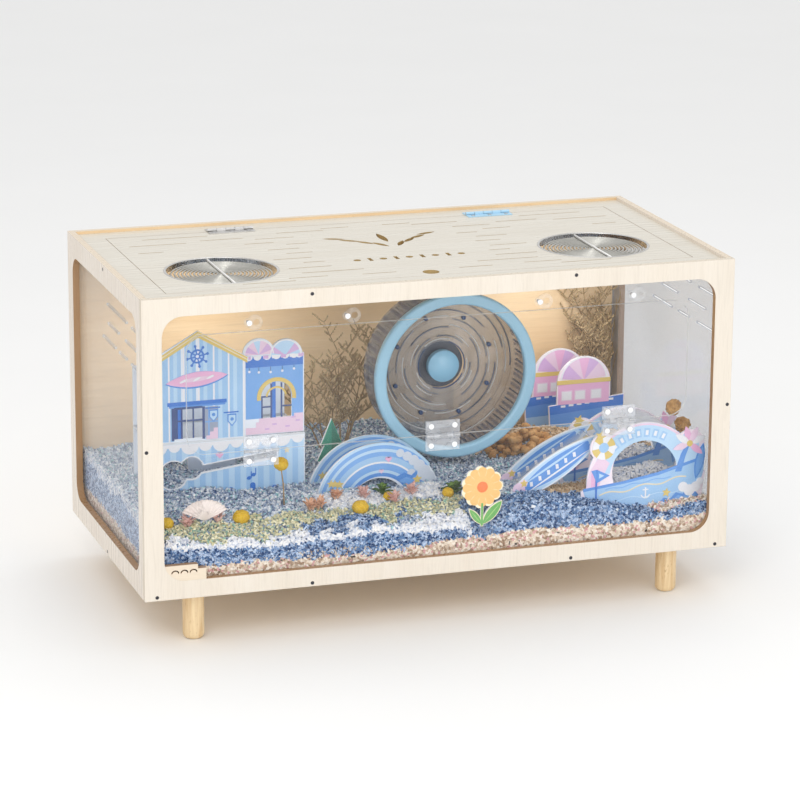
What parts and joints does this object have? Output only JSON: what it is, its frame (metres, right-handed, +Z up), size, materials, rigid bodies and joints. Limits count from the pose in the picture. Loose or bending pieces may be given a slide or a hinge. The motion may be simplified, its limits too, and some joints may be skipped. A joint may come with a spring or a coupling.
{
  "type": "hamster cage",
  "caption": "Plywood hamster cage on round legs with a vented flap lid, a clear drop-down front door, a running wheel and flat acrylic scenery in bedding.",
  "frame": {"origin": "centre of the footprint, on the surface that the legs stand on", "axes": "+X to the right along the cage's width, +Y to the back, away from the front door, +Z up"},
  "size_m": [0.8, 0.41, 0.4607],
  "materials": {
    "pale_plywood": "sanded birch plywood, matt varnish",
    "inner_plywood": "raw birch plywood with visible grain",
    "leg_wood": "turned beech, satin",
    "clear_acrylic": "clear cast acrylic sheet",
    "clear_hinge": "clear moulded acrylic",
    "clear_drum": "clear moulded plastic, faint smoke tint",
    "smoky_plastic": "dark translucent plastic",
    "blue_plastic": "light blue moulded plastic",
    "white_plastic": "white moulded plastic",
    "hinge_steel": "stamped steel",
    "grille_steel": "polished stainless wire",
    "zinc_steel": "zinc-plated steel",
    "black_screws": "black oxide",
    "printed_blue": "printed acrylic board",
    "printed_green": "printed acrylic board",
    "printed_pink": "printed acrylic board",
    "printed_peach": "printed acrylic board",
    "dried_twig": "dry twig",
    "baked_treat": "dry baked food",
    "loose_bedding": "loose paper granules and shavings"
  },
  "bodies": {
    "cabinet": {"floor_board": "inner_plywood", "back_board": "inner_plywood", "side_left": "pale_plywood", "side_right": "pale_plywood", "front_frame": "pale_plywood", "corner_tab": "pale_plywood", "top_board": "pale_plywood", "lid_ledge": "inner_plywood", "side_pane_left": "clear_acrylic", "side_pane_right": "clear_acrylic", "front_pane": "clear_acrylic", "legs": "leg_wood", "leg_studs": "zinc_steel", "case_screws": "black_screws", "lid_hinge_fixed": "hinge_steel", "hinge_pins": "zinc_steel", "lid_screws_fixed": "zinc_steel", "door_hinge_fixed": "clear_hinge", "pane_rivets": "white_plastic", "tab_pins": "white_plastic", "bearing_inner": "zinc_steel", "wheel_axle": "zinc_steel", "wheel_stand": "smoky_plastic", "wheel_foot": "clear_hinge", "house_front": "printed_blue", "tower_front": "printed_blue", "stage_board": "printed_blue", "house_deck": "clear_hinge", "house_back": "printed_blue", "layered_tree": "printed_green", "wave_arch_panels": "printed_blue", "wave_tunnel": "clear_hinge", "ship_panels": "printed_pink", "ramp_boards": "printed_blue", "ramp_deck": "clear_hinge", "boat_arch_panels": "printed_blue", "boat_roof": "clear_hinge", "flower_sign": "printed_peach", "twigs": "dried_twig", "biscuits": "baked_treat", "nuts": "baked_treat", "bedding": "loose_bedding"},
    "lid": {"lid_board": "pale_plywood", "vent_grille_left": "grille_steel", "vent_grille_right": "grille_steel", "lid_hinge_moving": "hinge_steel", "lid_screws_moving": "zinc_steel"},
    "front_door": {"door_panel": "clear_acrylic", "door_hinge_moving": "clear_hinge", "door_rivets": "white_plastic"},
    "tab_1": {"turn_tab_1": "clear_hinge"},
    "tab_2": {"turn_tab_2": "clear_hinge"},
    "tab_3": {"turn_tab_3": "clear_hinge"},
    "tab_4": {"turn_tab_4": "clear_hinge"},
    "wheel": {"wheel_drum": "clear_drum", "wheel_treads": "smoky_plastic", "wheel_ring": "blue_plastic", "wheel_hub_cap": "blue_plastic", "bearing_outer": "zinc_steel", "bearing_balls": "zinc_steel"}
  },
  "joints": [
    {"name": "lid_hinge", "type": "hinge", "parent": "cabinet", "child": "lid", "pos_m": [0, 0.1605, 0.4584], "axis": [-1, 0, 0], "range_deg": [0, 170]},
    {"name": "door_hinge", "type": "hinge", "parent": "cabinet", "child": "front_door", "pos_m": [0, -0.1994, 0.251], "axis": [1, 0, 0], "range_deg": [0, 170]},
    {"name": "wheel_spin", "type": "hinge", "parent": "cabinet", "child": "wheel", "pos_m": [0.076, -0.01, 0.281], "axis": [0, 1, 0], "continuous": true},
    {"name": "tab_1_turn", "type": "hinge", "parent": "cabinet", "child": "tab_1", "pos_m": [-0.2595, -0.1981, 0.42], "axis": [0, 1, 0], "range_deg": [-30, 210]},
    {"name": "tab_2_turn", "type": "hinge", "parent": "cabinet", "child": "tab_2", "pos_m": [-0.13, -0.1981, 0.42], "axis": [0, 1, 0], "range_deg": [-30, 210]},
    {"name": "tab_3_turn", "type": "hinge", "parent": "cabinet", "child": "tab_3", "pos_m": [0.13, -0.1981, 0.42], "axis": [0, 1, 0], "range_deg": [-30, 210]},
    {"name": "tab_4_turn", "type": "hinge", "parent": "cabinet", "child": "tab_4", "pos_m": [0.2595, -0.1981, 0.42], "axis": [0, 1, 0], "range_deg": [-30, 210]}
  ]
}
